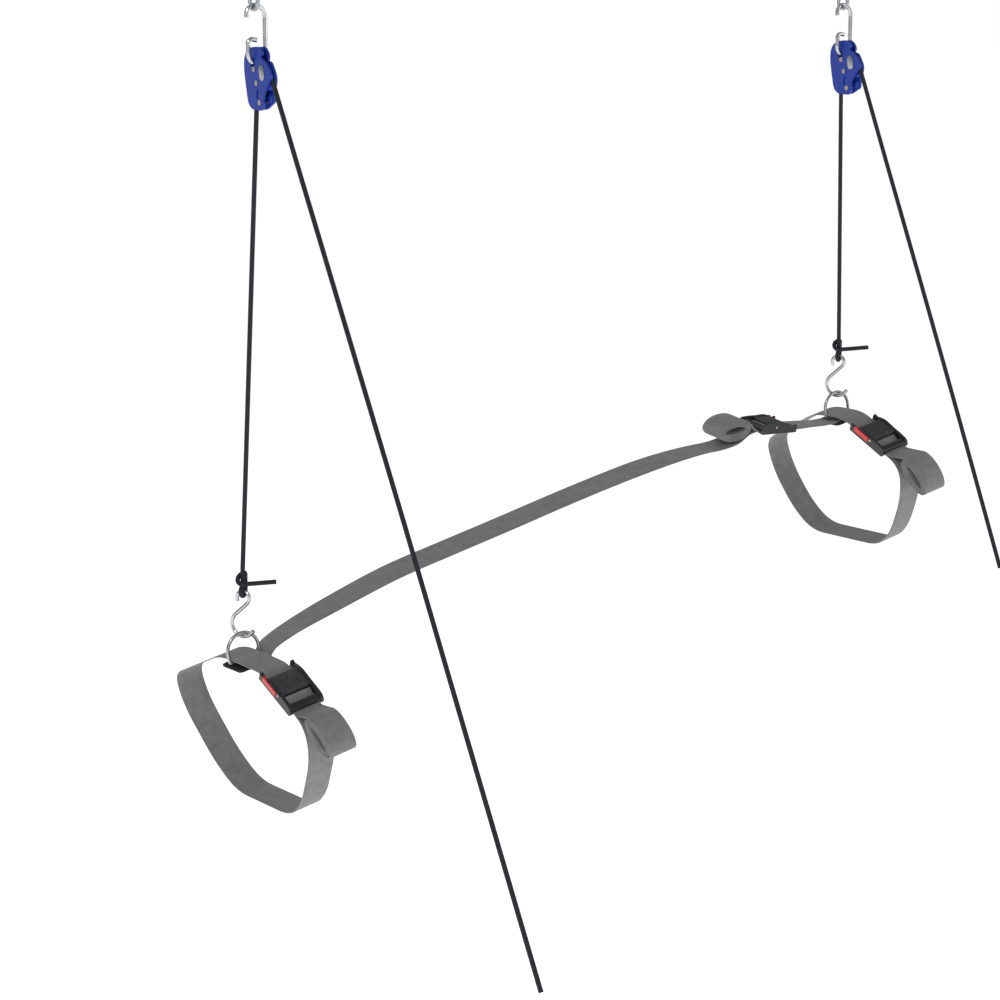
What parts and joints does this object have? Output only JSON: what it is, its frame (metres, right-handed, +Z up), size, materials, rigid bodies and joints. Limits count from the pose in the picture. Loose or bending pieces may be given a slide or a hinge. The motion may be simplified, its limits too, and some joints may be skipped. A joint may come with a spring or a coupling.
{
  "type": "kayak ceiling hoist",
  "caption": "Ceiling hoist for a kayak: rope-lock blocks on wire hooks, ropes and S-hooks carry a webbing harness with cam buckles.",
  "frame": {"origin": "the bow screw eye's axis at the ceiling's face", "axes": "+Z up into the ceiling, +X from the bow hanger to the stern hanger, -Y towards the user"},
  "size_m": [1.4482, 0.9935, 1.5019],
  "materials": {
    "zinc_steel": "bright zinc plate",
    "hook_wire": "polished nickel plate",
    "blue_plastic": "moulded, fine satin grain",
    "rivet_steel": "bright",
    "sheave_plastic": "moulded",
    "rope": "braided cover",
    "ring_steel": "plated, slightly dull",
    "webbing": "woven, matt",
    "pad_foam": "closed-cell foam",
    "buckle_plastic": "moulded, satin",
    "lid_plastic": "coarse grain",
    "button_plastic": "moulded"
  },
  "bodies": {
    "ceiling": {"bow_screw_eye": "zinc_steel", "stern_screw_eye": "zinc_steel"},
    "bow_hook": {"bow_hook": "hook_wire"},
    "bow_block": {"bow_front_cheek": "blue_plastic", "bow_rear_cheek": "blue_plastic", "bow_rivets": "rivet_steel", "bow_rope_turn": "rope", "bow_pull_rope": "rope", "bow_load_rope": "rope"},
    "bow_wheel": {"bow_sheave": "sheave_plastic"},
    "bow_lift": {"bow_knot": "rope", "bow_s_hook": "hook_wire"},
    "stern_hook": {"stern_hook": "hook_wire"},
    "stern_block": {"stern_front_cheek": "blue_plastic", "stern_rear_cheek": "blue_plastic", "stern_rivets": "rivet_steel", "stern_rope_turn": "rope", "stern_pull_rope": "rope", "stern_load_rope": "rope"},
    "stern_wheel": {"stern_sheave": "sheave_plastic"},
    "stern_lift": {"stern_knot": "rope", "stern_s_hook": "hook_wire"},
    "bow_link": {"bow_ring": "ring_steel"},
    "stern_link": {"stern_ring": "ring_steel"},
    "harness": {"bow_girth": "webbing", "stern_girth": "webbing", "deck_strap": "webbing", "bow_pad": "pad_foam", "stern_pad": "pad_foam", "bow_roll": "webbing", "stern_roll": "webbing", "deck_roll": "webbing", "bow_buckle_body": "buckle_plastic", "bow_buckle_pin": "rivet_steel", "bow_buckle_spring": "rivet_steel", "stern_buckle_body": "buckle_plastic", "stern_buckle_pin": "rivet_steel", "stern_buckle_spring": "rivet_steel", "deck_buckle_body": "buckle_plastic", "deck_buckle_pin": "rivet_steel", "deck_buckle_spring": "rivet_steel"},
    "bow_lid": {"bow_buckle_lid": "lid_plastic"},
    "bow_button": {"bow_buckle_button": "button_plastic"},
    "stern_lid": {"stern_buckle_lid": "lid_plastic"},
    "stern_button": {"stern_buckle_button": "button_plastic"},
    "deck_lid": {"deck_buckle_lid": "lid_plastic"},
    "deck_button": {"deck_buckle_button": "button_plastic"}
  },
  "joints": [
    {"name": "bow_hook_swing", "type": "hinge", "parent": "ceiling", "child": "bow_hook", "pos_m": [0, 0, -0.0277], "axis": [1, 0, 0], "range_deg": [-15, 0]},
    {"name": "bow_block_swing", "type": "hinge", "parent": "bow_hook", "child": "bow_block", "pos_m": [0.004, 0, -0.11839], "axis": [1, 0, 0], "range_deg": [-20, 0]},
    {"name": "bow_wheel_turn", "type": "hinge", "parent": "bow_block", "child": "bow_wheel", "pos_m": [0.004, -0.011, -0.15082], "axis": [1, 0, 0], "continuous": true},
    {"name": "bow_rope_lift", "type": "slide", "parent": "bow_block", "child": "bow_lift", "axis": [0, 0, 1], "range_m": [0, 0.15], "deforming": ["bow_load_rope"]},
    {"name": "bow_ring_tilt", "type": "hinge", "parent": "bow_lift", "child": "bow_link", "pos_m": [-0.0476, 0, -1.05691], "axis": [0.9774, 0, 0.2116], "range_deg": [-5, 5]},
    {"name": "stern_hook_swing", "type": "hinge", "parent": "ceiling", "child": "stern_hook", "pos_m": [1.285, 0, -0.0277], "axis": [1, 0, 0], "range_deg": [-15, 0]},
    {"name": "stern_block_swing", "type": "hinge", "parent": "stern_hook", "child": "stern_block", "pos_m": [1.289, 0, -0.11839], "axis": [1, 0, 0], "range_deg": [-20, 0]},
    {"name": "stern_wheel_turn", "type": "hinge", "parent": "stern_block", "child": "stern_wheel", "pos_m": [1.289, -0.011, -0.15082], "axis": [1, 0, 0], "continuous": true},
    {"name": "stern_rope_lift", "type": "slide", "parent": "stern_block", "child": "stern_lift", "axis": [0, 0, 1], "range_m": [0, 0.15], "deforming": ["stern_load_rope"]},
    {"name": "stern_ring_tilt", "type": "hinge", "parent": "stern_lift", "child": "stern_link", "pos_m": [1.2874, 0, -0.76791], "axis": [0.9774, 0, 0.2116], "range_deg": [-5, 5]},
    {"name": "harness_tilt", "type": "hinge", "parent": "bow_link", "child": "harness", "pos_m": [-0.03871, 0, -1.09796], "axis": [0.9774, 0, 0.2116], "range_deg": [-4, 4]},
    {"name": "bow_lid_open", "type": "hinge", "parent": "harness", "child": "bow_lid", "pos_m": [-0.03391, -0.14749, -1.12014], "axis": [0.9774, 0, 0.2116], "range_deg": [0, 60], "stiffness_Nm_per_rad": 0.02},
    {"name": "bow_button_press", "type": "slide", "parent": "harness", "child": "bow_button", "axis": [0.9774, 0, 0.2116], "range_m": [0, 0.002], "stiffness_N_per_m": 800},
    {"name": "stern_lid_open", "type": "hinge", "parent": "harness", "child": "stern_lid", "pos_m": [1.30201, -0.11748, -0.8354], "axis": [0.9774, 0, 0.2116], "range_deg": [0, 60], "stiffness_Nm_per_rad": 0.02},
    {"name": "stern_button_press", "type": "slide", "parent": "harness", "child": "stern_button", "axis": [0.9774, 0, 0.2116], "range_m": [0, 0.002], "stiffness_N_per_m": 800},
    {"name": "deck_lid_open", "type": "hinge", "parent": "harness", "child": "deck_lid", "pos_m": [1.10774, -0.0014, -0.8079], "axis": [0.0331, -0.9877, -0.1529], "range_deg": [0, 60], "stiffness_Nm_per_rad": 0.02},
    {"name": "deck_button_press", "type": "slide", "parent": "harness", "child": "deck_button", "axis": [0.0331, -0.9877, -0.1529], "range_m": [0, 0.002], "stiffness_N_per_m": 800}
  ],
  "couplings": [
    {"joint": "stern_hook_swing", "follows": "bow_hook_swing", "ratio": 1},
    {"joint": "stern_block_swing", "follows": "bow_block_swing", "ratio": 1},
    {"joint": "stern_rope_lift", "follows": "bow_rope_lift", "ratio": 1},
    {"joint": "stern_ring_tilt", "follows": "bow_ring_tilt", "ratio": 1},
    {"joint": "bow_wheel_turn", "follows": "bow_rope_lift", "rad_per_m": 67.568},
    {"joint": "stern_wheel_turn", "follows": "bow_rope_lift", "rad_per_m": 67.568}
  ]
}
